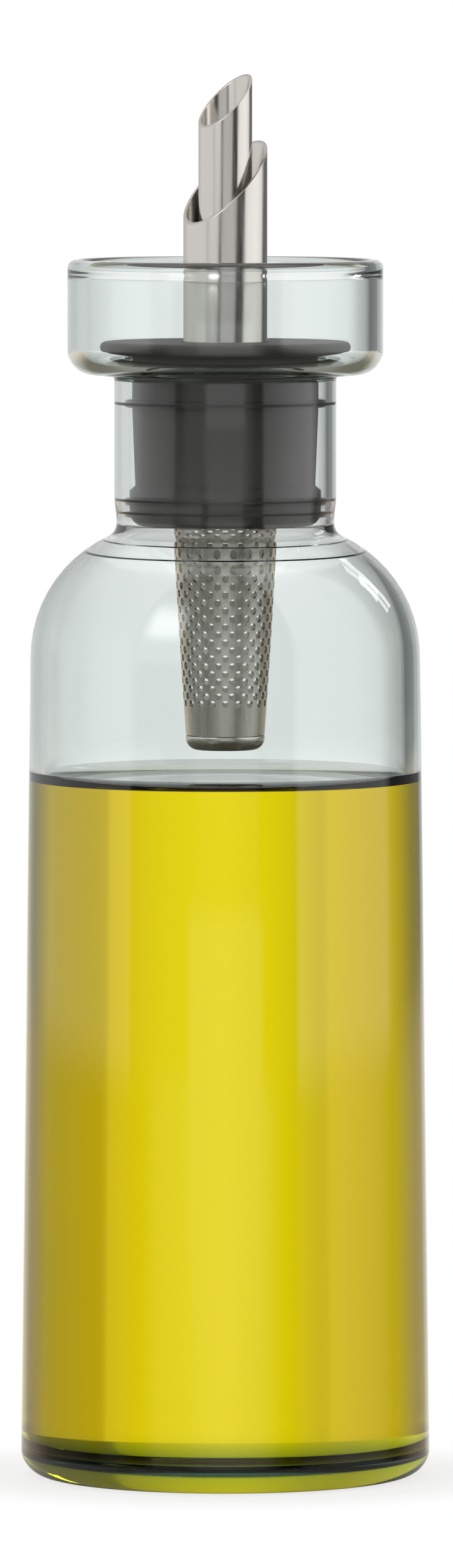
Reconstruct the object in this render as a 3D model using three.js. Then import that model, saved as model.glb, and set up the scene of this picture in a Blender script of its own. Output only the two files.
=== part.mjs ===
// Oil and vinegar bottle: one blown glass bottle with a drip cup on its neck, the oil in it,
// and a silicone stopper that carries a double steel pouring spout and a perforated strainer.
// Millimetres, +Z up, origin at the centre of the base, +X towards the spout's pouring tip.
import * as THREE from "three";

// Glass body, outside sizes
const baseRadius = 32.5;
const shoulderRadius = 30.9;
const bodyHeight = 130;
const baseCorner = 4.4;
const shoulderArc = 21.1;
const standInset = 8;
const puntDepth = 0.5;

// Glass body, thickness: the floor inside sags from the wall to the middle
const bodyWall = 2.5;
const baseThickness = 4.4;
const floorSag = 1.8;
const innerBaseCorner = 2;

// Glass neck
const neckRadius = 17.6;
const neckWall = 1.6;
const neckLength = 23.8;
const neckFillet = 1.8;
const neckInnerFillet = 3;
const neckWaist = 0.35;
const neckWaistHeight = 4.5;

// Glass drip cup on top of the neck
const cupOverhang = 7.4;
const cupHeight = 18.2;
const cupWall = 2.2;
const cupFloor = 1.7;
const cupCorner = 4;
const cupInnerCorner = 2.4;
const cupFillet = 1;
const boreEdge = 0.8;

// Silicone stopper
const flangeMargin = 2.95;
const flangeHeight = 3.5;
const flangeEdge = 1.3;
const flangeRound = 0.7;
const seatReach = 1.7;
const plugTopGap = 1.25;
const plugFootGap = 1.75;
const plugLift = 0.9;
const footGap = 0.75;
const footHeight = 6.2;
const footFlare = 0.8;
const footRound = 2.2;
const footLip = 0.6;
const topRibDepth = 6.1;
const topRibHalf = 0.5;
const footRibHeights = [2.9, 4.9];
const footRibHalf = 0.35;
const ledgeThickness = 2;

// Steel spout: the pouring tube stands inside the drip return tube
const returnTubeRadius = 6.65;
const returnTubeWall = 0.5;
const returnTubeLength = 51.6;
const pourTubeRadius = 4.25;
const pourTubeWall = 0.45;
const pourTubeLength = 62.1;
const tipAngle = THREE.MathUtils.degToRad(45);

// Spacer that centres the pouring tube and lets air in and drips back between its lugs
const spacerHeight = 4;
const spacerLift = 1;
const spacerHub = 0.5;
const spacerLugs = 3;
const spacerLugAngle = THREE.MathUtils.degToRad(36);

// Perforated strainer
const strainerRadius = 8.2;
const strainerEndRadius = 6.25;
const strainerWall = 0.5;
const strainerSocket = 7.6;
const strainerDrop = 32.8;
const strainerStraight = 3.4;
const perforationTop = 1.9;
const perforationBottom = 5.4;
const perforationRows = 15;
const perforationsAround = 16;
const holeSize = 1.5;

// Drawn cap that closes the strainer's lower end
const capDepth = 2.3;
const capCorner = 1.9;
const capWall = 0.5;
const capSpigot = 3;

// Oil
const oilGap = 5;
const oilClearance = 0.3;

// Clearances between pieces
const slidingFit = 0.15;
const pressFit = 0.2;
const seatGap = 0.1;

// Facets
const glassSides = 40;
const stopperSides = 32;
const tubeSides = 28;
const glassArcSteps = 2;
const smallArcSteps = 2;

const HALF_TURN = Math.PI;
const QUARTER_TURN = Math.PI / 2;

// Sizes that follow from those above
const boreRadius = neckRadius - neckWall;
const neckFootRadius = neckRadius - neckWaist;
const cupRadius = neckRadius + cupOverhang;
const cupInnerRadius = cupRadius - cupWall;
const shoulderCentre = shoulderRadius - shoulderArc;

const neckFootZ = bodyHeight + filletRise(shoulderArc, neckFootRadius, neckFillet);
const boreFootZ = bodyHeight + filletRise(shoulderArc - bodyWall, boreRadius, neckInnerFillet);
const cupUnderZ = neckFootZ + neckLength;
const cupFloorZ = cupUnderZ + cupFloor;
const rimZ = cupUnderZ + cupHeight;

const stopperZ = cupFloorZ + seatGap;
const plugLength = stopperZ - boreFootZ - plugLift;
const ledgeBottom = strainerSocket - plugLength;
const ledgeTop = ledgeBottom + ledgeThickness;
const strainerFoot = -plugLength - strainerDrop;
const capBottom = strainerFoot - seatGap - capDepth;
const oilLevel = stopperZ + capBottom - oilGap;

// Height from the shoulder arc's centre to the centre of the fillet between that arc and a neck wall
function filletRise(arc, wallRadius, fillet) {
  return Math.sqrt((arc + fillet) ** 2 - (wallRadius + fillet - shoulderCentre) ** 2);
}

// Angle at which the line between the two arc centres leaves the fillet's centre
function filletAngle(arc, wallRadius, fillet) {
  return Math.atan2(-filletRise(arc, wallRadius, fillet), shoulderCentre - wallRadius - fillet);
}

// Outside radius of the body's tapering wall
function bodyRadiusAt(z) {
  const share = (z - baseCorner) / (bodyHeight - baseCorner);
  return THREE.MathUtils.lerp(baseRadius, shoulderRadius, share);
}

// Turns a profile of radius and height about +Z
function revolve(points, sides) {
  const near = 1e-6;
  const profile = points.filter((p, i) => i === 0 || p.distanceTo(points[i - 1]) > near);
  return new THREE.LatheGeometry(profile, sides).rotateX(QUARTER_TURN);
}

function piece(name, geometry, material) {
  const mesh = new THREE.Mesh(geometry, material);
  mesh.name = name;
  return mesh;
}

const smokedGlass = new THREE.MeshStandardMaterial({
  color: 0xc4cfcc,
  roughness: 0.03,
  metalness: 0,
  transparent: true,
  opacity: 0.35,
});
const goldenOil = new THREE.MeshStandardMaterial({
  color: 0xd9c524,
  roughness: 0.05,
  metalness: 0,
  transparent: true,
  opacity: 0.85,
});
const greySilicone = new THREE.MeshStandardMaterial({ color: 0x4a4744, roughness: 0.5, metalness: 0 });

function stainlessSteel(roughness) {
  return new THREE.MeshStandardMaterial({ color: 0xc9c6c1, roughness, metalness: 1 });
}
const polished = 0.15;
const satin = 0.35;

// Body, neck and drip cup are one piece of glass: up the outside, over the rim, down the inside
function glassGeometry() {
  const outline = new THREE.Path();
  const standRadius = baseRadius - baseCorner - standInset;
  outline.moveTo(0, puntDepth);
  outline.lineTo(standRadius - puntDepth, puntDepth);
  outline.lineTo(standRadius, 0);
  outline.absarc(baseRadius - baseCorner, baseCorner, baseCorner, -QUARTER_TURN, 0);

  const outerTangent = filletAngle(shoulderArc, neckFootRadius, neckFillet);
  outline.absarc(shoulderCentre, bodyHeight, shoulderArc, 0, outerTangent + HALF_TURN);
  outline.absarc(neckFootRadius + neckFillet, neckFootZ, neckFillet, outerTangent, -HALF_TURN, true);
  outline.lineTo(neckRadius, neckFootZ + neckWaistHeight);

  outline.absarc(neckRadius + cupFillet, cupUnderZ - cupFillet, cupFillet, HALF_TURN, QUARTER_TURN, true);
  outline.absarc(cupRadius - cupCorner, cupUnderZ + cupCorner, cupCorner, -QUARTER_TURN, 0);
  outline.absarc(cupRadius - cupWall / 2, rimZ - cupWall / 2, cupWall / 2, 0, HALF_TURN);
  const innerCornerRadius = cupInnerRadius - cupInnerCorner;
  outline.absarc(innerCornerRadius, cupFloorZ + cupInnerCorner, cupInnerCorner, 0, -QUARTER_TURN, true);
  outline.absarc(boreRadius + boreEdge, cupFloorZ - boreEdge, boreEdge, QUARTER_TURN, HALF_TURN);

  const innerArc = shoulderArc - bodyWall;
  const innerTangent = filletAngle(innerArc, boreRadius, neckInnerFillet);
  outline.absarc(boreRadius + neckInnerFillet, boreFootZ, neckInnerFillet, HALF_TURN, innerTangent);
  outline.absarc(shoulderCentre, bodyHeight, innerArc, innerTangent + HALF_TURN, 0, true);
  innerBaseCurve(outline, 0);
  outline.lineTo(0, baseThickness - floorSag);
  return revolve(outline.getPoints(glassArcSteps), glassSides);
}

// Rounded inside corner of the base, drawn inwards and set off from the glass by a clearance
function innerBaseCurve(outline, clearance) {
  const top = baseThickness + innerBaseCorner;
  const centre = bodyRadiusAt(top) - bodyWall - innerBaseCorner;
  outline.absarc(centre, top, innerBaseCorner - clearance, 0, -QUARTER_TURN, true);
}

function oilGeometry() {
  const outline = new THREE.Path();
  outline.moveTo(0, oilLevel);
  outline.lineTo(bodyRadiusAt(oilLevel) - bodyWall - oilClearance, oilLevel);
  innerBaseCurve(outline, oilClearance);
  outline.lineTo(0, baseThickness - floorSag + oilClearance);
  return revolve(outline.getPoints(glassArcSteps).reverse(), glassSides);
}

// Half-round sealing rib standing out of the plug to the bore's wall
function addRib(outline, height, half) {
  const reach = boreRadius - slidingFit - half;
  outline.lineTo(outline.currentPoint.x, height + half);
  outline.absarc(reach, height, half, QUARTER_TURN, -QUARTER_TURN, true);
}

// Stopper in its own frame, with the seat of its flange at zero
function stopperGeometry() {
  const flangeRadius = cupInnerRadius - flangeMargin;
  const seatRadius = boreRadius + seatReach;
  const plugTopRadius = boreRadius - plugTopGap;
  const plugFootRadius = boreRadius - plugFootGap;
  const footRadius = boreRadius - footGap;
  const tubeBore = returnTubeRadius + slidingFit;
  const ledgeHole = returnTubeRadius - returnTubeWall;
  const socketRadius = strainerRadius + pressFit;
  const domeInner = socketRadius + footLip;

  const outline = new THREE.Path();
  outline.moveTo(tubeBore, flangeHeight);
  outline.lineTo(flangeRadius - flangeRound, flangeHeight);
  outline.absarc(flangeRadius - flangeRound, flangeHeight - flangeRound, flangeRound, QUARTER_TURN, 0, true);
  outline.lineTo(flangeRadius, flangeHeight - flangeEdge);
  outline.lineTo(seatRadius, 0);
  outline.lineTo(boreRadius + boreEdge, 0);
  outline.lineTo(plugTopRadius, -boreEdge);
  addRib(outline, -topRibDepth, topRibHalf);
  outline.lineTo(plugTopRadius, -topRibDepth - topRibHalf);

  outline.lineTo(plugFootRadius, footHeight - plugLength + footFlare);
  outline.lineTo(footRadius, footHeight - plugLength);
  for (const height of footRibHeights.toReversed()) {
    addRib(outline, height - plugLength, footRibHalf);
    outline.lineTo(footRadius, height - plugLength - footRibHalf);
  }
  const domeReach = footRadius - domeInner;
  outline.absellipse(domeInner, footRound - plugLength, domeReach, footRound, 0, -QUARTER_TURN, true);

  outline.lineTo(socketRadius, -plugLength);
  outline.lineTo(socketRadius, ledgeBottom);
  outline.lineTo(ledgeHole, ledgeBottom);
  outline.lineTo(ledgeHole, ledgeTop);
  outline.lineTo(tubeBore, ledgeTop);
  outline.closePath();
  return revolve(outline.getPoints(smallArcSteps).reverse(), stopperSides);
}

// Thin tube standing on zero, its top cut on a slant that rises towards +X
function slantedTube(radius, wall, length) {
  const inner = radius - wall;
  const section = [
    [radius, 0],
    [radius, length],
    [inner, length],
    [inner, 0],
    [radius, 0],
  ];
  const points = section.map(([r, z]) => new THREE.Vector2(r, z));
  const tube = new THREE.LatheGeometry(points, tubeSides).rotateX(QUARTER_TURN);
  const place = tube.attributes.position;
  for (let i = 0; i < place.count; i++) {
    const atTop = place.getZ(i) > length / 2;
    if (atTop) place.setZ(i, length - (radius - place.getX(i)) * Math.tan(tipAngle));
  }
  return tube;
}

// Hub ring round the pouring tube, with lugs that reach the return tube's bore
function spacerGeometry() {
  const hubInner = pourTubeRadius + pressFit;
  const hubOuter = hubInner + spacerHub;
  const lugRadius = returnTubeRadius - returnTubeWall - pressFit;
  const pitch = (2 * Math.PI) / spacerLugs;
  const outline = new THREE.Shape();
  for (let i = 0; i < spacerLugs; i++) {
    const lugEnd = i * pitch + spacerLugAngle;
    outline.absarc(0, 0, lugRadius, i * pitch, lugEnd);
    outline.absarc(0, 0, hubOuter, lugEnd, (i + 1) * pitch);
  }
  outline.closePath();
  outline.holes.push(new THREE.Path().absarc(0, 0, hubInner, 0, 2 * Math.PI, true));
  return new THREE.ExtrudeGeometry(outline, {
    depth: spacerHeight,
    bevelEnabled: false,
    curveSegments: tubeSides / 4,
  });
}

// Strainer sleeve in its own frame, with its top edge at zero: a plain collar, a tapering wall of
// staggered holes, and a plain band at the foot. A place on it is a depth and a column, and columns
// count the holes round the sleeve.
function sleeveGeometry() {
  const collar = strainerSocket - seatGap;
  const length = collar + strainerDrop;
  const taperStart = collar + strainerStraight;
  const firstRow = collar + perforationTop;
  const lastRow = length - perforationBottom;
  const rowStep = (lastRow - firstRow) / (perforationRows - 1);
  const columnAngle = (2 * Math.PI) / perforationsAround;
  const corners = [];

  function radiusAt(depth) {
    const share = Math.max(0, (depth - taperStart) / (length - taperStart));
    return THREE.MathUtils.lerp(strainerRadius, strainerEndRadius, share);
  }
  function onWall([depth, column], thickness) {
    const r = radiusAt(depth) - thickness;
    const angle = column * columnAngle;
    return [r * Math.cos(angle), r * Math.sin(angle), -depth];
  }
  function quad(a, b, c, d) {
    corners.push(...a, ...b, ...c, ...a, ...c, ...d);
  }
  // Four places, in order as seen from outside, filled on the outer face and on the inner face
  function patch(...places) {
    quad(...places.map((place) => onWall(place, 0)));
    quad(...places.toReversed().map((place) => onWall(place, strainerWall)));
  }
  function band(upper, lower) {
    for (let i = 0; i + 1 < upper.length; i++) patch(lower[i], lower[i + 1], upper[i + 1], upper[i]);
  }
  // The cut edge of the wall along a loop of places
  function cutEdge(loop) {
    for (let i = 0; i + 1 < loop.length; i++) {
      const [a, b] = [loop[i], loop[i + 1]];
      quad(onWall(a, 0), onWall(b, 0), onWall(b, strainerWall), onWall(a, strainerWall));
    }
  }
  function ring(depth) {
    return Array.from({ length: 2 * perforationsAround + 1 }, (_, i) => [depth, i / 2]);
  }
  function diamond(depth, column, tall, wide) {
    return [
      [depth - tall, column],
      [depth, column + wide],
      [depth + tall, column],
      [depth, column - wide],
      [depth - tall, column],
    ];
  }

  // Each hole is a diamond in the middle of a diamond cell, and the cells of the rows interlock
  const halfHole = holeSize / 2;
  for (let row = 0; row < perforationRows; row++) {
    const depth = firstRow + row * rowStep;
    const halfHoleColumn = halfHole / (radiusAt(depth) * columnAngle);
    for (let k = 0; k < perforationsAround; k++) {
      const column = k + (row % 2) / 2;
      const hole = diamond(depth, column, halfHole, halfHoleColumn);
      band(diamond(depth, column, rowStep, 0.5), hole);
      cutEdge(hole.toReversed());
    }
  }

  // The notches between the cells of the first and last rows are filled up to plain bands
  const above = firstRow - rowStep;
  const below = lastRow + rowStep;
  const lastShift = ((perforationRows - 1) % 2) / 2;
  for (let k = 0; k < perforationsAround; k++) {
    patch([firstRow, k + 0.5], [above, k + 1], [above, k + 0.5], [above, k]);
    const column = k + lastShift;
    patch([lastRow, column + 0.5], [below, column], [below, column + 0.5], [below, column + 1]);
  }
  band(ring(0), ring(above));
  band(ring(below), ring(length));
  cutEdge(ring(0));
  cutEdge(ring(length).toReversed());
  return new THREE.BufferGeometry().setAttribute("position", new THREE.Float32BufferAttribute(corners, 3));
}

// Cap in the stopper's frame: a round-cornered cup whose spigot goes up inside the sleeve
function capGeometry() {
  const spigotRadius = (strainerEndRadius - strainerWall) * Math.cos(QUARTER_TURN / perforationsAround) - pressFit;
  const rim = strainerFoot - seatGap;
  const floor = capBottom + capWall;
  const outline = new THREE.Path();
  outline.moveTo(0, capBottom);
  outline.lineTo(strainerEndRadius - capCorner, capBottom);
  outline.absarc(strainerEndRadius - capCorner, capBottom + capCorner, capCorner, -QUARTER_TURN, 0);
  outline.lineTo(strainerEndRadius, rim);
  outline.lineTo(spigotRadius, rim);
  outline.lineTo(spigotRadius, rim + capSpigot);
  outline.lineTo(spigotRadius - capWall, rim + capSpigot);
  outline.lineTo(spigotRadius - capWall, floor);
  outline.lineTo(0, floor);
  return revolve(outline.getPoints(smallArcSteps), tubeSides);
}

// The spout stands on the stopper's ledge and turns in its bore
const spout = new THREE.Group();
spout.position.z = ledgeTop + seatGap;
const tubeSpacer = piece("tube_spacer", spacerGeometry(), stainlessSteel(satin));
tubeSpacer.position.z = spacerLift;
spout.add(
  piece("drip_return_tube", slantedTube(returnTubeRadius, returnTubeWall, returnTubeLength), stainlessSteel(polished)),
  piece("pouring_tube", slantedTube(pourTubeRadius, pourTubeWall, pourTubeLength), stainlessSteel(polished)),
  tubeSpacer,
);

// The stopper sits on the cup's floor and holds the strainer in its socket
const stopper = new THREE.Group();
stopper.position.z = stopperZ;
const strainerSleeve = piece("strainer_sleeve", sleeveGeometry(), stainlessSteel(satin));
strainerSleeve.position.z = ledgeBottom - seatGap;
stopper.add(
  piece("silicone_stopper", stopperGeometry(), greySilicone),
  strainerSleeve,
  piece("strainer_cap", capGeometry(), stainlessSteel(satin)),
  spout,
);

const bottle = new THREE.Group();
bottle.add(
  piece("glass_bottle", glassGeometry(), smokedGlass),
  piece("oil", oilGeometry(), goldenOil),
  stopper,
);

export default bottle;
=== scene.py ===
import math

import bmesh
import bpy
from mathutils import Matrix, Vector


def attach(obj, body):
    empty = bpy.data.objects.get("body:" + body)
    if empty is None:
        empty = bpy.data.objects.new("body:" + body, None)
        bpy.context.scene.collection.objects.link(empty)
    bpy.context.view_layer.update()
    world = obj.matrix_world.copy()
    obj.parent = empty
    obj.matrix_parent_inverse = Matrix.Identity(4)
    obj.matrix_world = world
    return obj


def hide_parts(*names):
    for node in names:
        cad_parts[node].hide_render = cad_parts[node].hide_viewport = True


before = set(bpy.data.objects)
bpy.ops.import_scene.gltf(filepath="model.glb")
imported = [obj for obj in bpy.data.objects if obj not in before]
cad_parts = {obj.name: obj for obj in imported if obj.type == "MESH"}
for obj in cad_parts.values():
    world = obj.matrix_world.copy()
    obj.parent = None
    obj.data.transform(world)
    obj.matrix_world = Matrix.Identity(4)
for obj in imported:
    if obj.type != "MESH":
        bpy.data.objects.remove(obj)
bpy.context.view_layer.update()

MM = 0.001
WELD = 1e-7

# A multiple of four, so that a turned piece reaches its full width on both axes
TURNED_SIDES = 128
TUBE_SIDES = 96
ARC_STEP = 6

# Edges that turn by more degrees than these stay sharp
BLOWN_CREASE = 60
MOULDED_CREASE = 50
DRAWN_CREASE = 50
TUBE_CREASE = 35
SHEET_CREASE = 40

# Glass body, neck and drip cup
BASE_RADIUS = 32.5
BASE_CORNER = 4.4
STAND_RADIUS = 20.1
PUNT_RADIUS = 19
PUNT_DEPTH = 0.5
SHOULDER_RADIUS = 30.9
SHOULDER_HEIGHT = 130
SHOULDER_ARC = 21.1
SHOULDER_CENTRE = SHOULDER_RADIUS - SHOULDER_ARC
BODY_WALL = 2.5
BASE_THICKNESS = 4.4
FLOOR_SAG = 1.8
INNER_BASE_CORNER = 2
NECK_FOOT_RADIUS = 17.25
NECK_RADIUS = 17.6
NECK_FILLET = 2.4
NECK_SWELL = 4.5
BORE_RADIUS = 16
BORE_FILLET = 3.05
INNER_SHOULDER_CENTRE = 7.55
# Slight steps inside the shoulder, where its wall thins from the neck: degrees up its arc and depth of
# each, and the degrees that its edge takes to both sides
NECK_ROOT_STEPS = ((57.8, 0.13), (48.8, 0.22))
NECK_ROOT_EDGE = 0.8
BORE_EDGE = 0.8
CUP_RADIUS = 25
CUP_UNDERSIDE = 174.75
CUP_FLOOR = 176.45
CUP_RIM = 192.95
CUP_WALL = 2.2
CUP_CORNER = 4
CUP_INNER_CORNER = 2.4
RIM_BEAD = 1.35
RIM_BEAD_TURN = 30
RIM_BEAD_FILLET = 2.5
CUP_FILLET = 1

# Oil, let into the glass by a hair so that light passes straight from one to the other
OIL_LEVEL = 110.24
MENISCUS = 2
MENISCUS_TURN = 80
OIL_EDGE = OIL_LEVEL + MENISCUS * (1 - math.cos(math.radians(MENISCUS_TURN)))
OIL_CONTACT = 0.04

# Silicone stopper, its ribs pressed a hair into the bore as the real ones are squeezed flat on it
STOPPER_TOP = 180.05
SPOUT_BORE = 6.8
SPOUT_BORE_LIP = 0.4
FLANGE_SHOULDER = 18.95
FLANGE_ROUND = 0.9
FLANGE_TURN = 58
FLANGE_BELLY = 7
FLANGE_BELLY_TURN = 30
PLUG_TOP_RADIUS = 14.75
PLUG_FOOT_RADIUS = 14.25
PLUG_BOTTOM = 150.44
FOOT_RADIUS = 15.15
FOOT_TOP = 156.64
FOOT_FLARE = 0.8
FOOT_CORNER = 3.4
FOOT_CORNER_TURN = 75
RIB_SQUEEZE = 0.05
TOP_RIB_HEIGHT = 170.3
TOP_RIB_HALF = 0.55
FOOT_RIB_HEIGHTS = (155.1, 153.15)
FOOT_RIB_HALF = 0.4
LEDGE_BOTTOM = 158.04
LEDGE_TOP = 160.04
LEDGE_HOLE = 6.15
STRAINER_SOCKET = 8.4

# Steel spout
SPOUT_FOOT = 160.14
RETURN_TUBE = {"radius": 6.65, "wall": 0.5, "top": 211.74}
POURING_TUBE = {"radius": 4.25, "wall": 0.45, "top": 222.24}
CUT_EDGE_ROUND = 0.07
CUT_EDGE_STEPS = 2
CUT_FACE = WELD * 10

# Perforated strainer
STRAINER_RADIUS = 8.2
STRAINER_END_RADIUS = 6.25
STRAINER_TOP = 157.94
STRAINER_FOOT = 117.64
STRAINER_TAPER_TOP = 147.04
STRAINER_SHEET = 0.4
HOLES_AROUND = 20
HOLE_ROWS = 24
HOLE_RADIUS = 0.57
HOLE_SIDES = 12
HOLE_MARGIN = 1.02
ROW_STEP = 1.195
LOWEST_ROW = 122.8
CAP_BOTTOM = 115.24
CAP_CORNER = 1.9
CAP_RIM = 117.54
CAP_WALL = 0.5
CAP_SPIGOT_RADIUS = 5.5
CAP_SPIGOT_TOP = 120.54
CAP_BEAD = 0.2


def start_outline(name, radius, height):
    """Leaves one selected point of a new piece in edit mode, for the pen to draw on from."""
    bpy.ops.object.select_all(action="DESELECT")
    bpy.ops.mesh.primitive_plane_add(size=MM)
    bpy.context.object.name = name
    bpy.ops.object.mode_set(mode="EDIT")
    bpy.ops.mesh.select_mode(type="VERT")
    bpy.ops.mesh.select_all(action="SELECT")
    bpy.ops.mesh.merge(type="CENTER")
    bpy.ops.transform.translate(value=(radius * MM, 0, height * MM))


def pen_place():
    outline = bmesh.from_edit_mesh(bpy.context.object.data)
    return next(point.co.copy() for point in outline.verts if point.select)


def line_to(radius, height):
    step = Vector((radius * MM, 0, height * MM)) - pen_place()
    bpy.ops.mesh.extrude_vertices_move(TRANSFORM_OT_translate={"value": step})


def arc_about(radius, height, degrees):
    """Carries the pen round a centre, from the radius towards the height when degrees are positive."""
    bpy.ops.mesh.spin(
        steps=max(2, math.ceil(abs(degrees) / ARC_STEP)),
        angle=math.radians(degrees),
        center=(radius * MM, 0, height * MM),
        axis=(0, 1, 0),
    )


def swell_to(radius, height):
    """Goes from one upright wall to another in a slight S made of two equal arcs."""
    start = pen_place() / MM
    out = radius - start.x
    rise = height - start.z
    bend = (rise * rise + out * out) / (4 * out)
    turn = math.degrees(math.asin(rise / 2 / bend))
    arc_about(start.x + bend, start.z, -turn)
    arc_about(radius - bend, height, turn)


def turn_outline(sides):
    """Turns the outline about the bottle's axis into one closed skin that faces outwards."""
    bpy.ops.mesh.select_all(action="SELECT")
    bpy.ops.mesh.spin(steps=sides, angle=math.tau, center=(0, 0, 0), axis=(0, 0, 1))
    close_skin()


def close_skin():
    bpy.ops.mesh.select_all(action="SELECT")
    bpy.ops.mesh.remove_doubles(threshold=WELD)
    bpy.ops.mesh.normals_make_consistent(inside=False)


def leave_edit(crease):
    bpy.ops.object.mode_set(mode="OBJECT")
    bpy.ops.object.shade_smooth_by_angle(angle=math.radians(crease))
    return bpy.context.object


def select_points(wanted):
    """Selects the edges and points of the piece in hand whose places pass a test."""
    bpy.ops.mesh.select_mode(type="VERT")
    bpy.ops.mesh.select_all(action="DESELECT")
    skin = bmesh.from_edit_mesh(bpy.context.object.data)
    for point in skin.verts:
        point.select = wanted(point.co)
    skin.select_flush_mode()
    bmesh.update_edit_mesh(bpy.context.object.data)


def fillet_rise(centre, arc, wall_radius, fillet):
    """Height from a shoulder arc's centre to the centre of a fillet between it and a neck wall."""
    return math.sqrt((arc + fillet) ** 2 - (wall_radius + fillet - centre) ** 2)


def fillet_turn(centre, arc, wall_radius, fillet):
    rise = fillet_rise(centre, arc, wall_radius, fillet)
    return math.degrees(math.atan2(rise, wall_radius + fillet - centre))


def body_radius(height):
    share = (height - BASE_CORNER) / (SHOULDER_HEIGHT - BASE_CORNER)
    return BASE_RADIUS + (SHOULDER_RADIUS - BASE_RADIUS) * share


def draw_inner_base(contact):
    """Rounds the base's inside corner and sags gently to the axis, let into the glass by contact."""
    top = BASE_THICKNESS + INNER_BASE_CORNER
    centre = body_radius(top) - BODY_WALL - INNER_BASE_CORNER
    line_to(centre + INNER_BASE_CORNER + contact, top)
    arc_about(centre, top, -90)
    bowl_sphere = (centre ** 2 + FLOOR_SAG ** 2) / (2 * FLOOR_SAG)
    bowl_turn = math.degrees(math.asin(centre / bowl_sphere))
    arc_about(0, BASE_THICKNESS - contact - FLOOR_SAG + bowl_sphere, -bowl_turn)


def draw_inner_shoulder(turn, reach):
    """Goes down the shoulder's inside, over the slight steps in which its wall thins from the neck."""
    for place, depth in NECK_ROOT_STEPS:
        for degrees in (turn - place - NECK_ROOT_EDGE, NECK_ROOT_EDGE):
            arc_about(INNER_SHOULDER_CENTRE, SHOULDER_HEIGHT, -degrees)
        reach += depth
        slant = math.radians(place - NECK_ROOT_EDGE)
        line_to(
            INNER_SHOULDER_CENTRE + reach * math.cos(slant),
            SHOULDER_HEIGHT + reach * math.sin(slant),
        )
        arc_about(INNER_SHOULDER_CENTRE, SHOULDER_HEIGHT, -NECK_ROOT_EDGE)
        turn = place - 2 * NECK_ROOT_EDGE
    arc_about(INNER_SHOULDER_CENTRE, SHOULDER_HEIGHT, -turn)


def blow_bottle():
    """Body, neck and drip cup in one skin: up the outside, over the rim and down the inside."""
    start_outline("blown_bottle", 0, PUNT_DEPTH)
    punt_sphere = (PUNT_RADIUS ** 2 + PUNT_DEPTH ** 2) / (2 * PUNT_DEPTH)
    punt_turn = math.degrees(math.asin(PUNT_RADIUS / punt_sphere))
    arc_about(0, PUNT_DEPTH - punt_sphere, -punt_turn)
    line_to(STAND_RADIUS, 0)
    line_to(BASE_RADIUS - BASE_CORNER, 0)
    arc_about(BASE_RADIUS - BASE_CORNER, BASE_CORNER, 90)

    line_to(SHOULDER_RADIUS, SHOULDER_HEIGHT)
    neck_corner = (SHOULDER_CENTRE, SHOULDER_ARC, NECK_FOOT_RADIUS, NECK_FILLET)
    shoulder_turn = fillet_turn(*neck_corner)
    neck_foot = SHOULDER_HEIGHT + fillet_rise(*neck_corner)
    arc_about(SHOULDER_CENTRE, SHOULDER_HEIGHT, shoulder_turn)
    arc_about(NECK_FOOT_RADIUS + NECK_FILLET, neck_foot, -shoulder_turn)
    swell_to(NECK_RADIUS, neck_foot + NECK_SWELL)

    line_to(NECK_RADIUS, CUP_UNDERSIDE - CUP_FILLET)
    arc_about(NECK_RADIUS + CUP_FILLET, CUP_UNDERSIDE - CUP_FILLET, -90)
    line_to(CUP_RADIUS - CUP_CORNER, CUP_UNDERSIDE)
    arc_about(CUP_RADIUS - CUP_CORNER, CUP_UNDERSIDE + CUP_CORNER, 90)
    draw_rim_bead()
    inner_corner = CUP_RADIUS - CUP_WALL - CUP_INNER_CORNER
    line_to(CUP_RADIUS - CUP_WALL, CUP_FLOOR + CUP_INNER_CORNER)
    arc_about(inner_corner, CUP_FLOOR + CUP_INNER_CORNER, -90)
    line_to(BORE_RADIUS + BORE_EDGE, CUP_FLOOR)
    arc_about(BORE_RADIUS + BORE_EDGE, CUP_FLOOR - BORE_EDGE, 90)

    root_arc = SHOULDER_RADIUS - BODY_WALL - INNER_SHOULDER_CENTRE
    root_arc -= sum(depth for place, depth in NECK_ROOT_STEPS)
    bore_corner = (INNER_SHOULDER_CENTRE, root_arc, BORE_RADIUS, BORE_FILLET)
    inner_turn = fillet_turn(*bore_corner)
    bore_foot = SHOULDER_HEIGHT + fillet_rise(*bore_corner)
    line_to(BORE_RADIUS, bore_foot)
    arc_about(BORE_RADIUS + BORE_FILLET, bore_foot, inner_turn)
    draw_inner_shoulder(inner_turn, root_arc)
    line_to(body_radius(OIL_EDGE) - BODY_WALL, OIL_EDGE)
    draw_inner_base(0)
    turn_outline(TURNED_SIDES)
    return leave_edit(BLOWN_CREASE)


def draw_rim_bead():
    """Rounds the rim over, thicker than the wall under it as fire polishing leaves it."""
    centre = CUP_RADIUS - RIM_BEAD
    height = CUP_RIM - RIM_BEAD
    line_to(CUP_RADIUS, height)
    arc_about(centre, height, 180 + RIM_BEAD_TURN)
    lean = math.radians(RIM_BEAD_TURN)
    reach = RIM_BEAD + RIM_BEAD_FILLET
    arc_about(centre - reach * math.cos(lean), height - reach * math.sin(lean), -RIM_BEAD_TURN)


def fill_oil():
    """The oil's skin, with the edge of its surface drawn up the glass."""
    start_outline("bottled_oil", 0, OIL_LEVEL)
    wall = body_radius(OIL_LEVEL) - BODY_WALL
    line_to(wall - MENISCUS, OIL_LEVEL)
    arc_about(wall - MENISCUS, OIL_LEVEL + MENISCUS, MENISCUS_TURN)
    line_to(body_radius(OIL_EDGE) - BODY_WALL + OIL_CONTACT, OIL_EDGE)
    draw_inner_base(OIL_CONTACT)
    turn_outline(TURNED_SIDES)
    return leave_edit(BLOWN_CREASE)


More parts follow.
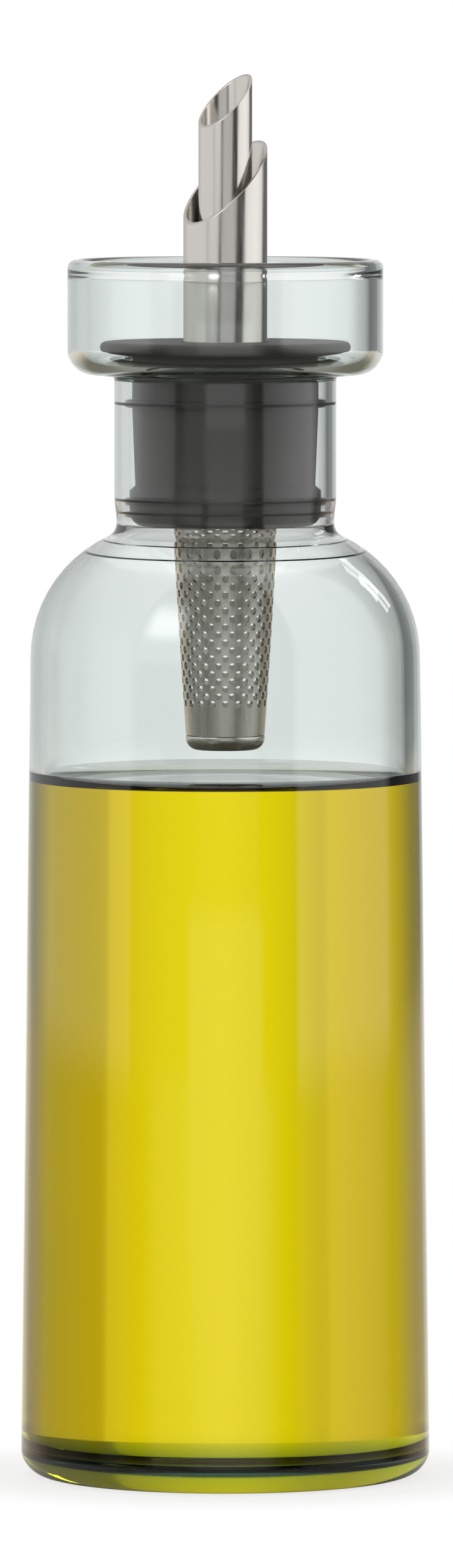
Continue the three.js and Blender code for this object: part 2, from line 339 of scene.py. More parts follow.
def draw_rib(root_radius, height, half):
    """A half-round sealing rib that stands out of the plug to the bore."""
    crown = BORE_RADIUS + RIB_SQUEEZE - half
    line_to(root_radius, height + half)
    line_to(crown, height + half)
    arc_about(crown, height, -180)
    line_to(root_radius, height - half)


def mould_stopper():
    """Lens-edged flange, tapering plug with its sealing ribs, flared foot, and the bores inside."""
    start_outline("moulded_stopper", SPOUT_BORE, STOPPER_TOP - SPOUT_BORE_LIP)
    arc_about(SPOUT_BORE + SPOUT_BORE_LIP, STOPPER_TOP - SPOUT_BORE_LIP, -90)
    line_to(FLANGE_SHOULDER, STOPPER_TOP)
    arc_about(FLANGE_SHOULDER, STOPPER_TOP - FLANGE_ROUND, -90 - FLANGE_TURN)
    lean = math.radians(FLANGE_TURN)
    belly_in = FLANGE_BELLY - FLANGE_ROUND
    arc_about(
        FLANGE_SHOULDER - belly_in * math.cos(lean),
        STOPPER_TOP - FLANGE_ROUND + belly_in * math.sin(lean),
        -FLANGE_BELLY_TURN,
    )
    line_to(PLUG_TOP_RADIUS, pen_place().z / MM)
    draw_rib(PLUG_TOP_RADIUS, TOP_RIB_HEIGHT, TOP_RIB_HALF)

    line_to(PLUG_FOOT_RADIUS, FOOT_TOP + FOOT_FLARE)
    line_to(FOOT_RADIUS, FOOT_TOP)
    for height in FOOT_RIB_HEIGHTS:
        draw_rib(FOOT_RADIUS, height, FOOT_RIB_HALF)
    dome_height = PLUG_BOTTOM + FOOT_CORNER
    dome_start = math.asin((dome_height - pen_place().z / MM) / FOOT_CORNER)
    line_to(FOOT_RADIUS - FOOT_CORNER * (1 - math.cos(dome_start)), pen_place().z / MM)
    arc_about(FOOT_RADIUS - FOOT_CORNER, dome_height, math.degrees(dome_start) - FOOT_CORNER_TURN)

    line_to(STRAINER_SOCKET, PLUG_BOTTOM)
    line_to(STRAINER_SOCKET, LEDGE_BOTTOM)
    line_to(LEDGE_HOLE, LEDGE_BOTTOM)
    line_to(LEDGE_HOLE, LEDGE_TOP)
    line_to(SPOUT_BORE, LEDGE_TOP)
    line_to(SPOUT_BORE, STOPPER_TOP - SPOUT_BORE_LIP)
    turn_outline(TURNED_SIDES)
    return leave_edit(MOULDED_CREASE)


def cut_tube(name, radius, wall, top):
    """A drawn tube, cut across at 45 degrees so that its tip is towards +X, and its edge eased."""
    start_outline(name, radius, SPOUT_FOOT)
    line_to(radius, top)
    line_to(radius - wall, top)
    line_to(radius - wall, SPOUT_FOOT)
    line_to(radius, SPOUT_FOOT)
    turn_outline(TUBE_SIDES)
    tip = Vector((radius, 0, top)) * MM
    slant = Vector((-1, 0, 1)).normalized()
    bpy.ops.mesh.select_all(action="SELECT")
    bpy.ops.mesh.bisect(plane_co=tip, plane_no=slant, clear_outer=True, threshold=WELD)
    select_points(lambda place: abs((place - tip).dot(slant)) < CUT_FACE)
    bpy.ops.mesh.bridge_edge_loops()
    close_skin()
    select_points(lambda place: abs((place - tip).dot(slant)) < CUT_FACE)
    bpy.ops.mesh.region_to_loop()
    bpy.ops.mesh.bevel(offset=CUT_EDGE_ROUND * MM, segments=CUT_EDGE_STEPS, affect="EDGES")
    close_skin()
    return leave_edit(TUBE_CREASE)


def punch_strainer():
    """One hole in its patch of sheet, repeated in staggered rows, then rolled to the tapering sleeve."""
    pitch = math.tau * STRAINER_RADIUS / HOLES_AROUND
    bpy.ops.object.select_all(action="DESELECT")
    bpy.ops.mesh.primitive_circle_add(vertices=HOLE_SIDES, radius=HOLE_RADIUS * MM)
    sheet = bpy.context.object
    sheet.name = "punched_strainer"
    bpy.ops.object.mode_set(mode="EDIT")
    bpy.ops.mesh.select_all(action="SELECT")
    bpy.ops.mesh.extrude_edges_move(TRANSFORM_OT_translate={"value": (0, 0, 0)})
    square_patch(sheet, pitch)
    bpy.ops.object.mode_set(mode="OBJECT")

    repeat_sheet(sheet, HOLES_AROUND, (pitch, 0))
    stagger_rows(sheet, pitch)
    bpy.ops.object.mode_set(mode="EDIT")
    close_skin()
    add_plain_bands()
    roll_sheet(sheet)
    close_skin()
    bpy.ops.object.mode_set(mode="OBJECT")
    wall = sheet.modifiers.new("wall", "SOLIDIFY")
    wall.thickness = STRAINER_SHEET * MM
    wall.offset = -1
    bpy.ops.object.modifier_apply(modifier=wall.name)
    bpy.ops.object.shade_smooth_by_angle(angle=math.radians(SHEET_CREASE))
    return sheet


def square_patch(sheet, pitch):
    """Moves the hole's outer ring of points out to a patch one pitch wide and one row high."""
    skin = bmesh.from_edit_mesh(sheet.data)
    corners = []
    for along in (0.5, 0.25, 0, -0.25, -0.5):
        corners.append((along * pitch, ROW_STEP / 2))
    corners.append((-pitch / 2, 0))
    for along in (-0.5, -0.25, 0, 0.25, 0.5):
        corners.append((along * pitch, -ROW_STEP / 2))
    corners.append((pitch / 2, 0))
    ring = [point for point in skin.verts if point.select]
    ring.sort(key=lambda point: math.atan2(point.co.y, point.co.x) % math.tau)
    corners.sort(key=lambda place: math.atan2(place[1], place[0]) % math.tau)
    for point, place in zip(ring, corners):
        point.co.x = place[0] * MM
        point.co.y = place[1] * MM
    bmesh.update_edit_mesh(sheet.data)


def repeat_sheet(sheet, count, step):
    row = sheet.modifiers.new("row", "ARRAY")
    row.count = count
    row.use_relative_offset = False
    row.use_constant_offset = True
    row.constant_offset_displace = (step[0] * MM, step[1] * MM, 0)
    bpy.ops.object.modifier_apply(modifier=row.name)


def stagger_rows(sheet, pitch):
    """Adds the row above, shifted by half a pitch, and repeats the pair up the sleeve."""
    bpy.ops.object.mode_set(mode="EDIT")
    bpy.ops.mesh.select_all(action="SELECT")
    shift = (pitch / 2 * MM, ROW_STEP * MM, 0)
    bpy.ops.mesh.duplicate_move(TRANSFORM_OT_translate={"value": shift})
    bpy.ops.object.mode_set(mode="OBJECT")
    repeat_sheet(sheet, HOLE_ROWS // 2, (0, 2 * ROW_STEP))


def add_plain_bands():
    """Runs the sheet on past its holes: up into the stopper's socket and down to the cap."""
    lowest = -ROW_STEP / 2 * MM
    highest = (HOLE_ROWS - 0.5) * ROW_STEP * MM
    for edge, reach in (
        (highest, (STRAINER_TOP - LOWEST_ROW) * MM),
        (lowest, (STRAINER_FOOT - LOWEST_ROW) * MM),
    ):
        select_points(lambda place: abs(place.y - edge) < WELD)
        bpy.ops.mesh.extrude_edges_move(TRANSFORM_OT_translate={"value": (0, reach - edge, 0)})


def strainer_radius(height):
    share = (STRAINER_TAPER_TOP - height) / (STRAINER_TAPER_TOP - STRAINER_FOOT)
    return STRAINER_RADIUS + (STRAINER_END_RADIUS - STRAINER_RADIUS) * max(0, share)


def roll_sheet(sheet):
    """Rolls the flat sheet to a cone and keeps its holes round where the cone draws it together."""
    skin = bmesh.from_edit_mesh(sheet.data)
    for point in skin.verts:
        column = point.co.x / MM / STRAINER_RADIUS / math.tau * HOLES_AROUND
        row = round(point.co.y / MM / ROW_STEP)
        height = LOWEST_ROW + point.co.y / MM
        radius = strainer_radius(height)
        half = row % 2 / 2
        centre = round(column - half) + half
        across = (column - centre) * math.tau * STRAINER_RADIUS / HOLES_AROUND
        along = point.co.y / MM - row * ROW_STEP
        if math.hypot(across, along) < HOLE_RADIUS * HOLE_MARGIN:
            column = centre + (column - centre) * STRAINER_RADIUS / radius
        angle = column / HOLES_AROUND * math.tau
        point.co = Vector((radius * math.cos(angle), radius * math.sin(angle), height)) * MM
    bmesh.update_edit_mesh(sheet.data)


def draw_cap():
    """The drawn cup that closes the strainer, with a beaded rim and a spigot up inside the sleeve."""
    start_outline("drawn_cap", 0, CAP_BOTTOM)
    line_to(STRAINER_END_RADIUS - CAP_CORNER, CAP_BOTTOM)
    arc_about(STRAINER_END_RADIUS - CAP_CORNER, CAP_BOTTOM + CAP_CORNER, 90)
    line_to(STRAINER_END_RADIUS, CAP_RIM - CAP_BEAD)
    arc_about(STRAINER_END_RADIUS - CAP_BEAD, CAP_RIM - CAP_BEAD, 90)
    line_to(CAP_SPIGOT_RADIUS, CAP_RIM)
    line_to(CAP_SPIGOT_RADIUS, CAP_SPIGOT_TOP)
    line_to(CAP_SPIGOT_RADIUS - CAP_WALL, CAP_SPIGOT_TOP)
    line_to(CAP_SPIGOT_RADIUS - CAP_WALL, CAP_BOTTOM + CAP_WALL)
    line_to(0, CAP_BOTTOM + CAP_WALL)
    turn_outline(TURNED_SIDES)
    return leave_edit(DRAWN_CREASE)


def linear(hex_colour):
    """An sRGB hex colour as linear red, green, blue and alpha."""
    channels = []
    for start in (0, 2, 4):
        value = int(hex_colour[start:start + 2], 16) / 255
        channels.append(value / 12.92 if value <= 0.04045 else ((value + 0.055) / 1.055) ** 2.4)
    return (*channels, 1)


def add_node(tree, kind, links=(), settings=(), values=()):
    """Adds a node, sets its options and its sockets' values, and links sockets to other outputs."""
    node = tree.nodes.new(kind)
    for name, value in dict(settings).items():
        setattr(node, name, value)
    for socket, value in dict(values).items():
        node.inputs[socket].default_value = value
    for socket, output in dict(links).items():
        tree.links.new(output, node.inputs[socket])
    return node


def new_material(name):
    material = bpy.data.materials.new(name)
    material.use_nodes = True
    material.node_tree.nodes.clear()
    return material


# Light bends at the step between two indices of refraction, which is all but nothing from glass to oil
GLASS_INDEX = 1.474
OIL_INDEX = 1.468
NO_STEP = 1.0005
SILICONE_INDEX = 1.41
WETTED = "wetted"

# The linear colour that each clear material lets through, and how strongly it takes the rest, per metre
GLASS_PASSES = (0.204, 0.429, 0.371)
GLASS_TINT_STRENGTH = 70
OIL_PASSES = (0.99, 0.947, 0.0)
OIL_TINT_STRENGTH = 100


def index_step(tree, in_air, wetted):
    """The index that a skin shows to the air, and the one that it shows where oil and glass touch."""
    mark = add_node(tree, "ShaderNodeAttribute", settings={"attribute_name": WETTED})
    step = add_node(
        tree, "ShaderNodeMapRange",
        links={"Value": mark.outputs["Fac"]},
        values={"To Min": in_air, "To Max": wetted},
    )
    return step.outputs["Result"]


def blown_smoke_glass():
    """Borosilicate glass, blown: clear with a cool grey in its thickness and a fire-smooth skin that
    waves a little where the gather was turned."""
    material = new_material("blown_smoke_borosilicate_glass")
    tree = material.node_tree
    place = add_node(tree, "ShaderNodeTexCoord")
    wave_width = 24 * MM
    wave_depth = 0.4 * MM
    wave = add_node(
        tree, "ShaderNodeTexNoise",
        links={"Vector": place.outputs["Object"]},
        values={"Scale": 1 / wave_width, "Detail": 1, "Roughness": 0.4},
    )
    ripple = add_node(
        tree, "ShaderNodeBump",
        links={"Height": wave.outputs["Fac"]},
        values={"Strength": 0.06, "Distance": wave_depth},
    )
    skin = add_node(
        tree, "ShaderNodeBsdfPrincipled",
        links={
            "Normal": ripple.outputs["Normal"],
            "IOR": index_step(tree, GLASS_INDEX, GLASS_INDEX / OIL_INDEX),
        },
        values={"Base Color": linear("FFFFFF"), "Roughness": 0.0, "Transmission Weight": 1},
    )
    depth = add_node(
        tree, "ShaderNodeVolumeAbsorption",
        values={"Color": (*GLASS_PASSES, 1), "Density": GLASS_TINT_STRENGTH},
    )
    add_node(
        tree, "ShaderNodeOutputMaterial",
        links={"Surface": skin.outputs["BSDF"], "Volume": depth.outputs["Volume"]},
    )
    return material


def filtered_oil():
    """Cold-pressed oil, filtered: clear, golden to green, and so deep that it takes all the blue."""
    material = new_material("filtered_olive_oil")
    tree = material.node_tree
    skin = add_node(
        tree, "ShaderNodeBsdfPrincipled",
        links={"IOR": index_step(tree, OIL_INDEX, NO_STEP)},
        values={"Base Color": linear("FFFFFF"), "Roughness": 0.0, "Transmission Weight": 1},
    )
    depth = add_node(
        tree, "ShaderNodeVolumeAbsorption",
        values={"Color": (*OIL_PASSES, 1), "Density": OIL_TINT_STRENGTH},
    )
    add_node(
        tree, "ShaderNodeOutputMaterial",
        links={"Surface": skin.outputs["BSDF"], "Volume": depth.outputs["Volume"]},
    )
    return material


def moulded_silicone():
    """Dark grey silicone rubber, moulded in a polished tool: a soft sheen over a faint orange peel."""
    material = new_material("moulded_grey_silicone")
    tree = material.node_tree
    place = add_node(tree, "ShaderNodeTexCoord")
    peel_width = 0.6 * MM
    peel_depth = 0.02 * MM
    peel = add_node(
        tree, "ShaderNodeTexNoise",
        links={"Vector": place.outputs["Object"]},
        values={"Scale": 1 / peel_width, "Detail": 3},
    )
    cloud_width = 7 * MM
    cloud = add_node(
        tree, "ShaderNodeTexNoise",
        links={"Vector": place.outputs["Object"]},
        values={"Scale": 1 / cloud_width, "Detail": 2},
    )
    tint = add_node(
        tree, "ShaderNodeMix",
        links={0: cloud.outputs["Fac"]},
        settings={"data_type": "RGBA"},
        values={6: linear("54504D"), 7: linear("5C5855")},
    )
    sheen = add_node(
        tree, "ShaderNodeMapRange",
        links={"Value": cloud.outputs["Fac"]},
        values={"To Min": 0.5, "To Max": 0.62},
    )
    dents = add_node(
        tree, "ShaderNodeBump",
        links={"Height": peel.outputs["Fac"]},
        values={"Strength": 0.25, "Distance": peel_depth},
    )
    skin = add_node(
        tree, "ShaderNodeBsdfPrincipled",
        links={
            "Base Color": tint.outputs[2],
            "Roughness": sheen.outputs["Result"],
            "Normal": dents.outputs["Normal"],
        },
        values={"IOR": SILICONE_INDEX},
    )
    add_node(tree, "ShaderNodeOutputMaterial", links={"Surface": skin.outputs["BSDF"]})
    return material


# Each steel's colour, the least and most roughness of its streaks, and their depth in millimetres
SPOUT_FINISH = {"base": "C9C5C0", "smooth": 0.12, "rough": 0.24, "streak_depth": 0.006}
# The strainer's steel is lighter than the spout's: painted light that makes up for the shade it stands
# in inside the neck. Its satin roughness is its own.
LIGHTENED_STRAINER_FINISH = {"base": "E4E1D8", "smooth": 0.24, "rough": 0.36, "streak_depth": 0.005}


def drawn_steel(name, base, smooth, rough, streak_depth):
    """Stainless steel: fine streaks run along the metal the way it was drawn, and break up its gloss."""
    material = new_material(name)
    tree = material.node_tree
    place = add_node(tree, "ShaderNodeTexCoord")
    streak_width = 0.35 * MM
    streak_length = 9 * MM
    along = add_node(
        tree, "ShaderNodeMapping",
        links={"Vector": place.outputs["Object"]},
        values={"Scale": (1 / streak_width, 1 / streak_width, 1 / streak_length)},
    )
    streaks = add_node(
        tree, "ShaderNodeTexNoise",
        links={"Vector": along.outputs["Vector"]},
        values={"Scale": 1, "Detail": 3, "Roughness": 0.6},
    )
    grit_size = 0.25 * MM
    grit = add_node(
        tree, "ShaderNodeTexNoise",
        links={"Vector": place.outputs["Object"]},
        values={"Scale": 1 / grit_size, "Detail": 2},
    )
    gloss = add_node(
        tree, "ShaderNodeMapRange",
        links={"Value": streaks.outputs["Fac"]},
        values={"From Min": 0.3, "From Max": 0.7, "To Min": smooth, "To Max": rough},
    )
    relief = add_node(
        tree, "ShaderNodeMath",
        links={0: streaks.outputs["Fac"], 1: grit.outputs["Fac"]},
        settings={"operation": "ADD"},
    )
    scratches = add_node(
        tree, "ShaderNodeBump",
        links={"Height": relief.outputs["Value"]},
        values={"Strength": 0.3, "Distance": streak_depth * MM},
    )
    skin = add_node(
        tree, "ShaderNodeBsdfPrincipled",
        links={"Roughness": gloss.outputs["Result"], "Normal": scratches.outputs["Normal"]},
        values={"Base Color": linear(base), "Metallic": 1, "Anisotropic": 0.3},
    )
    add_node(tree, "ShaderNodeOutputMaterial", links={"Surface": skin.outputs["BSDF"]})
    return material


def give_finish(piece, material):
    piece.data.materials.clear()
    piece.data.materials.append(material)


def mark_wetted(piece, wetted):
    """Marks the faces of a piece where oil and glass touch, for its finish to read."""
    mark = piece.data.attributes.new(WETTED, "FLOAT", "FACE")
    for face in piece.data.polygons:
        mark.data[face.index].value = float(wetted(face.center / MM))


def touches_oil(place):
    """Whether a place on the bottle's skin is on the inside, under the oil's edge."""
    inside = math.hypot(place.x, place.y) < body_radius(place.z) - BODY_WALL / 2
    return inside and (BASE_THICKNESS - FLOOR_SAG) / 2 < place.z < OIL_EDGE


def touches_glass(place):
    """Whether a place on the oil's skin is on the wall or the bottom, and not on its free surface."""
    at_wall = math.hypot(place.x, place.y) > body_radius(place.z) - BODY_WALL
    return at_wall or place.z < OIL_LEVEL - MENISCUS


def dress(piece, material, body, node):
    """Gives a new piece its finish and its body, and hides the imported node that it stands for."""
    give_finish(piece, material)
    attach(piece, body)
    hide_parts(node)


# The photograph's camera, a long lens a little above the table, with the spout's tip turned from it
VIEW_TURN = math.radians(54)
VIEW_FORWARD = Vector((math.cos(VIEW_TURN), math.sin(VIEW_TURN), 0))
VIEW_RIGHT = Vector((VIEW_FORWARD.y, -VIEW_FORWARD.x, 0))
CAMERA_DISTANCE = 2.187
CAMERA_HEIGHT = 0.245
AIM_HEIGHT = 0.10985
AIM_RIGHT = 0.00019
LENS = 317.4
SENSOR_HEIGHT = 36


def place_camera():
    camera = bpy.data.objects.new("photo_camera", bpy.data.cameras.new("photo_camera"))
    bpy.context.scene.collection.objects.link(camera)
    camera.data.sensor_fit = "VERTICAL"
    camera.data.sensor_height = SENSOR_HEIGHT
    camera.data.lens = LENS
    camera.location = VIEW_FORWARD * -CAMERA_DISTANCE + Vector((0, 0, CAMERA_HEIGHT))
    aim = VIEW_RIGHT * AIM_RIGHT + Vector((0, 0, AIM_HEIGHT))
    camera.rotation_euler = (aim - camera.location).to_track_quat("-Z", "Y").to_euler()
    bpy.context.scene.camera = camera


# Brightness of the white studio round the bottle, by the angle in degrees from straight behind it,
# positive to the photograph's right, over the horizon and under it. Soft boxes and cards stand between
# darker gaps, and the ends of the sweep behind the bottle are warmer than its middle. Further down it
# darkens to the deep colour, and then turns to the table's. Each pair of edges is in degrees of height,
# from where a change starts to where it is complete.
STUDIO_ABOVE = (
    (-180, 0.3), (-164, 0.3), (-162, 0.16), (-124, 0.16), (-122, 1.0), (-57, 1.0), (-42, 0.8),
    (-25, 0.66), (-16, 0.72), (-9, 0.9), (-4, 0.99), (0, 1.01), (5, 0.96), (10, 0.86), (16, 0.7),
    (21, 0.56), (23, 0.27), (60, 0.16), (66, 0.2), (73, 1.2), (100, 1.45), (136, 1.3), (139, 0.05),
    (160, 0.05), (162, 0.3), (180, 0.3),
)
STUDIO_BELOW = (
    (-180, 1.0), (-165, 0.8), (-158, 0.45), (-140, 0.38), (-133, 0.03), (-126, 0.03), (-120, 0.15),
    (-111, 0.24), (-102, 0.05), (-89, 0.15), (-76, 0.25), (-61, 0.4), (-45, 0.82), (-28, 0.94),
    (-20.5, 0.97), (-19.5, 0.84), (-10, 1.04), (0, 1.17), (12, 1.1), (24, 0.96), (25.5, 0.74),
    (50, 0.62), (62, 0.25), (68, 0.1), (80, 0.44), (108, 0.68), (124, 0.34), (134, 0.2), (139, 0.02),
    (148, 0.02), (160, 0.7), (180, 1.0),
)
STUDIO_DEEP = (0.18, 0.165, 0.12)
STUDIO_HORIZON = (-4.6, -3.7)
STUDIO_DEEP_EDGE = (-20, -4.6)
STUDIO_TABLE = (0.3, 0.29, 0.26)
STUDIO_TABLE_EDGE = (-30, -46)
SWEEP_WARMTH = (1, 0.84, 0.68)
SWEEP_WARM = (6, 32)
SWEEP_END = (70, 85)

# Soft panels with fading edges, each mixed over the ones before it: a white card behind the camera,
# the key light over the camera's left shoulder and its brighter heart, the table behind the bottle,
# and a low card under the camera. Each pair is the inner and the outer end of a fade, in degrees.
FRONT_CARD = {"centre": 180, "half_width": (17, 21), "foot": (3, -1.6), "head": (20, 35)}
SOFT_KEY = {"centre": -139, "half_width": (11, 18), "foot": (6, -1.6), "head": (42, 52)}
KEY_HEART = {"centre": -140, "half_width": (6, 17), "foot": (26, 13), "head": (34, 50)}
TABLE_BEHIND = {"centre": 0, "half_width": (8, 22), "foot": (-58, -80), "head": (-14, -7)}
LOW_CARD = {"centre": 180, "half_width": (18, 24), "foot": (-5, -7), "head": (-2.5, -1.9)}
PANEL_LEVELS = (
    (FRONT_CARD, 0.74), (SOFT_KEY, 0.95), (KEY_HEART, 4.2), (TABLE_BEHIND, 0.75), (LOW_CARD, 0.85),
)


def studio_ring(tree, turn, stops):
    """The studio's brightness all the way round, from its stops in degrees."""
    ring = add_node(tree, "ShaderNodeValToRGB", links={"Fac": turn})
    elements = ring.color_ramp.elements
    while len(elements) < len(stops):
        elements.new(0.5)
    for element, (degrees, level) in zip(elements, stops):
        element.position = degrees / 360 + 0.5
        element.color = (level, level, level, 1)
    return ring


def sine(degrees):
    return math.sin(math.radians(degrees))


def inside_edges(tree, edges):
    """How far a direction lies inside every one of some soft edges, from nothing to one. Each edge is a
    value to watch, where it counts for nothing and where it counts in full."""
    share = None
    for value, nothing_at, full_at in edges:
        links = {"Value": value}
        if share is not None:
            links["To Max"] = share
        edge = add_node(
            tree, "ShaderNodeMapRange",
            links=links,
            settings={"interpolation_type": "SMOOTHSTEP"},
            values={"From Min": nothing_at, "From Max": full_at},
        )
        share = edge.outputs["Result"]
    return share


def sweep_warmth(tree, azimuth):
    """How far the sweep behind the bottle has turned warm, to both sides of its middle."""
    aside = add_node(tree, "ShaderNodeMath", links={0: azimuth}, settings={"operation": "ABSOLUTE"})
    from_middle = aside.outputs["Value"]
    grows = (from_middle, math.radians(SWEEP_WARM[0]), math.radians(SWEEP_WARM[1]))
    ends = (from_middle, math.radians(SWEEP_END[1]), math.radians(SWEEP_END[0]))
    return inside_edges(tree, (grows, ends))


def soft_panel(tree, azimuth, rise, centre, half_width, foot, head):
    """Where a soft light stands, from one at its middle to nothing past its fading edges."""
    turned = add_node(
        tree, "ShaderNodeMath",
        links={0: azimuth},
        settings={"operation": "SUBTRACT"},
        values={1: math.radians(centre)},
    )
    wrapped = add_node(
        tree, "ShaderNodeMath",
        links={0: turned.outputs["Value"]},
        settings={"operation": "WRAP"},
        values={1: math.pi, 2: -math.pi},
    )
    aside = add_node(
        tree, "ShaderNodeMath",
        links={0: wrapped.outputs["Value"]},
        settings={"operation": "ABSOLUTE"},
    )
    across = (aside.outputs["Value"], math.radians(half_width[1]), math.radians(half_width[0]))
    over_foot = (rise, sine(foot[1]), sine(foot[0]))
    under_head = (rise, sine(head[1]), sine(head[0]))
    return inside_edges(tree, (over_foot, under_head, across))


def light_studio():
    """White to the camera; to glass, steel and everything lit, a ring of soft boxes and cards."""
    world = bpy.data.worlds.new("soft_studio")
    bpy.context.scene.world = world
    world.use_nodes = True
    tree = world.node_tree
    tree.nodes.clear()
    place = add_node(tree, "ShaderNodeTexCoord")
    ahead = add_node(
        tree, "ShaderNodeVectorMath",
        links={0: place.outputs["Generated"]},
        settings={"operation": "DOT_PRODUCT"},
        values={1: VIEW_FORWARD},
    )
    aside = add_node(
        tree, "ShaderNodeVectorMath",
        links={0: place.outputs["Generated"]},
        settings={"operation": "DOT_PRODUCT"},
        values={1: VIEW_RIGHT},
    )
    azimuth = add_node(
        tree, "ShaderNodeMath",
        links={0: aside.outputs["Value"], 1: ahead.outputs["Value"]},
        settings={"operation": "ARCTAN2"},
    )
    turn = add_node(
        tree, "ShaderNodeMath",
        links={0: azimuth.outputs["Value"]},
        settings={"operation": "MULTIPLY_ADD"},
        values={1: 1 / math.tau, 2: 0.5},
    )
    above = studio_ring(tree, turn.outputs["Value"], STUDIO_ABOVE)
    below = studio_ring(tree, turn.outputs["Value"], STUDIO_BELOW)
    axes = add_node(tree, "ShaderNodeSeparateXYZ", links={"Vector": place.outputs["Generated"]})
    rise = axes.outputs["Z"]
    shares = []
    for start, end in (STUDIO_HORIZON, STUDIO_DEEP_EDGE, STUDIO_TABLE_EDGE):
        shares.append(inside_edges(tree, ((rise, sine(start), sine(end)),)))
    over_horizon, over_deep, on_table = shares
    warmed = add_node(
        tree, "ShaderNodeMix",
        links={0: sweep_warmth(tree, azimuth.outputs["Value"]), 6: below.outputs["Color"]},
        settings={"data_type": "RGBA", "blend_type": "MULTIPLY"},
        values={7: (*SWEEP_WARMTH, 1)},
    )
    low = add_node(
        tree, "ShaderNodeMix",
        links={0: over_deep, 7: warmed.outputs[2]},
        settings={"data_type": "RGBA"},
        values={6: (*STUDIO_DEEP, 1)},
    )
    table = add_node(
        tree, "ShaderNodeMix",
        links={0: on_table, 6: low.outputs[2]},
        settings={"data_type": "RGBA"},
        values={7: (*STUDIO_TABLE, 1)},
    )
    ring = add_node(
        tree, "ShaderNodeMix",
        links={0: over_horizon, 6: table.outputs[2], 7: above.outputs["Color"]},
        settings={"data_type": "RGBA"},
    )
    studio = ring.outputs[2]
    for panel, level in PANEL_LEVELS:
        lit = add_node(
            tree, "ShaderNodeMix",
            links={0: soft_panel(tree, azimuth.outputs["Value"], rise, **panel), 6: studio},
            settings={"data_type": "RGBA"},
            values={7: (level, level, level, 1)},
        )
        studio = lit.outputs[2]
    rays = add_node(tree, "ShaderNodeLightPath")
    seen = add_node(
        tree, "ShaderNodeMix",
        links={0: rays.outputs["Is Camera Ray"], 6: studio},
        settings={"data_type": "RGBA"},
        values={7: (1, 1, 1, 1)},
    )
    glow = add_node(tree, "ShaderNodeBackground", links={"Color": seen.outputs[2]})
    add_node(tree, "ShaderNodeOutputWorld", links={"Surface": glow.outputs["Background"]})


def hang_softbox(name, azimuth, elevation, distance, width, height, level):
    """A soft box that faces the bottle's shoulder, as bright all over as level times white."""
    lamp = bpy.data.lights.new(name, "AREA")
    lamp.shape = "RECTANGLE"
    lamp.size = width
    lamp.size_y = height
    lamp.energy = level * math.pi * width * height
    box = bpy.data.objects.new(name, lamp)
    bpy.context.scene.collection.objects.link(box)
    turn = math.radians(azimuth)
    rise = math.radians(elevation)
    level_way = VIEW_FORWARD * math.cos(turn) + VIEW_RIGHT * math.sin(turn)
    way = level_way * math.cos(rise) + Vector((0, 0, math.sin(rise)))
    shoulder = Vector((0, 0, SHOULDER_HEIGHT * MM))
    box.location = shoulder + way * distance
    box.rotation_euler = way.to_track_quat("Z", "Y").to_euler()


# Two tall panes of a window to the photograph's right, and a soft box overhead
WINDOW_TURNS = (("window_pane_near", 48.5), ("window_pane_far", 54))
WINDOW_PANE = {"elevation": 26, "distance": 1.2, "width": 0.08, "height": 0.36, "level": 4}
TOP_BOX = {"azimuth": 0, "elevation": 85, "distance": 0.9, "width": 0.7, "height": 0.5, "level": 0.8}

# The floor is solid out to one radius and gone past the next, and the camera sees its white lifted
FLOOR_RADIUS = 0.15
FLOOR_SIDES = 96
FLOOR_SOLID = 0.036
FLOOR_EDGE = 0.056
FLOOR_LIFT = 0.75


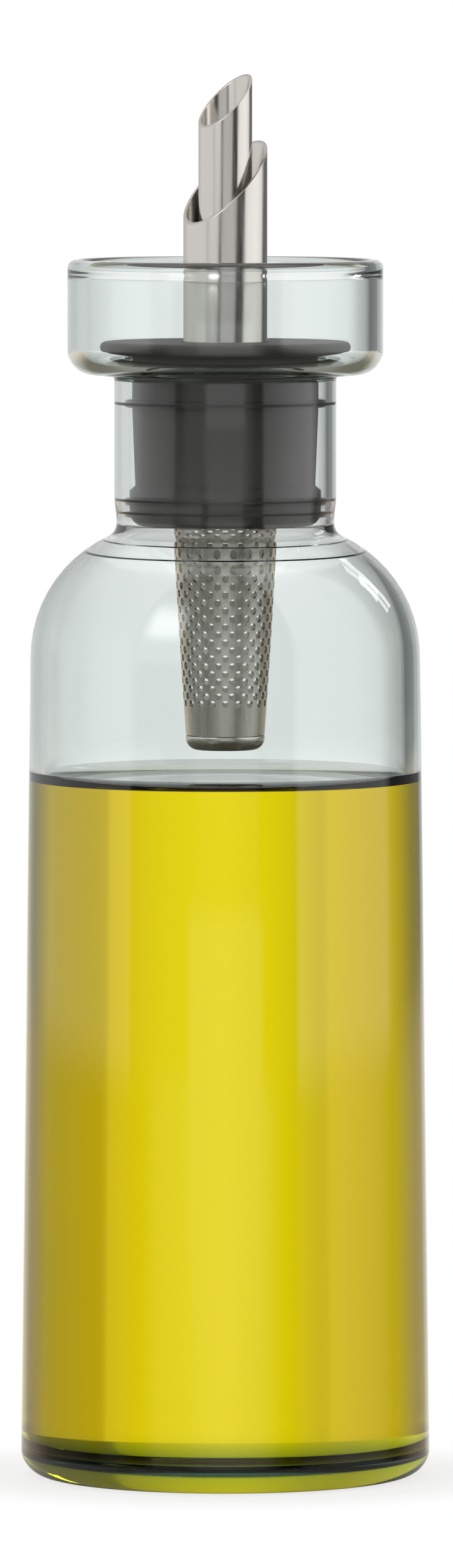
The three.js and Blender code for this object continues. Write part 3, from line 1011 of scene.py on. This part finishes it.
def lay_floor():
    """A pale round table top that fades into the white round it and keeps the bottle's shadow."""
    bpy.ops.object.select_all(action="DESELECT")
    bpy.ops.mesh.primitive_circle_add(vertices=FLOOR_SIDES, radius=FLOOR_RADIUS, fill_type="NGON")
    floor = bpy.context.object
    floor.name = "pale_floor"
    material = new_material("matt_white_board")
    tree = material.node_tree
    place = add_node(tree, "ShaderNodeTexCoord")
    reach = add_node(
        tree, "ShaderNodeVectorMath",
        links={0: place.outputs["Object"]},
        settings={"operation": "LENGTH"},
    )
    fade = add_node(
        tree, "ShaderNodeMapRange",
        links={"Value": reach.outputs["Value"]},
        settings={"interpolation_type": "SMOOTHSTEP"},
        values={"From Min": FLOOR_SOLID, "From Max": FLOOR_EDGE},
    )
    rays = add_node(tree, "ShaderNodeLightPath")
    board = add_node(tree, "ShaderNodeBsdfDiffuse", values={"Color": linear("F2F2F0")})
    white = add_node(tree, "ShaderNodeEmission", values={"Color": (1, 1, 1, 1), "Strength": 1})
    lift = add_node(
        tree, "ShaderNodeMath",
        links={0: rays.outputs["Is Camera Ray"]},
        settings={"operation": "MULTIPLY"},
        values={1: FLOOR_LIFT},
    )
    top = add_node(
        tree, "ShaderNodeMixShader",
        links={0: lift.outputs["Value"], 1: board.outputs["BSDF"], 2: white.outputs["Emission"]},
    )
    clear = add_node(tree, "ShaderNodeBsdfTransparent")
    blend = add_node(
        tree, "ShaderNodeMixShader",
        links={0: fade.outputs["Result"], 1: top.outputs["Shader"], 2: clear.outputs["BSDF"]},
    )
    add_node(tree, "ShaderNodeOutputMaterial", links={"Surface": blend.outputs["Shader"]})
    floor.data.materials.append(material)


place_camera()
light_studio()
for pane_name, pane_turn in WINDOW_TURNS:
    hang_softbox(pane_name, pane_turn, **WINDOW_PANE)
hang_softbox("top_box", **TOP_BOX)
lay_floor()

silicone = moulded_silicone()
spout_steel = drawn_steel("drawn_polished_stainless_steel", **SPOUT_FINISH)
# The strainer, its cap and the spacer take a steel lightened as painted light against the shade in the
# neck
lightened_strainer_steel = drawn_steel("pressed_satin_steel_painted_light", **LIGHTENED_STRAINER_FINISH)

bottle = blow_bottle()
dress(bottle, blown_smoke_glass(), "bottle", "glass_bottle")
mark_wetted(bottle, touches_oil)
oil = fill_oil()
dress(oil, filtered_oil(), "bottle", "oil")
mark_wetted(oil, touches_glass)
dress(mould_stopper(), silicone, "stopper", "silicone_stopper")
dress(cut_tube("drawn_return_tube", **RETURN_TUBE), spout_steel, "spout", "drip_return_tube")
dress(cut_tube("drawn_pouring_tube", **POURING_TUBE), spout_steel, "spout", "pouring_tube")
dress(punch_strainer(), lightened_strainer_steel, "stopper", "strainer_sleeve")
dress(draw_cap(), lightened_strainer_steel, "stopper", "strainer_cap")

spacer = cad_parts["tube_spacer"]
for slot_index in range(len(spacer.material_slots)):
    spacer.material_slots[slot_index].material = lightened_strainer_steel

bpy.context.scene.view_settings.view_transform = "Standard"
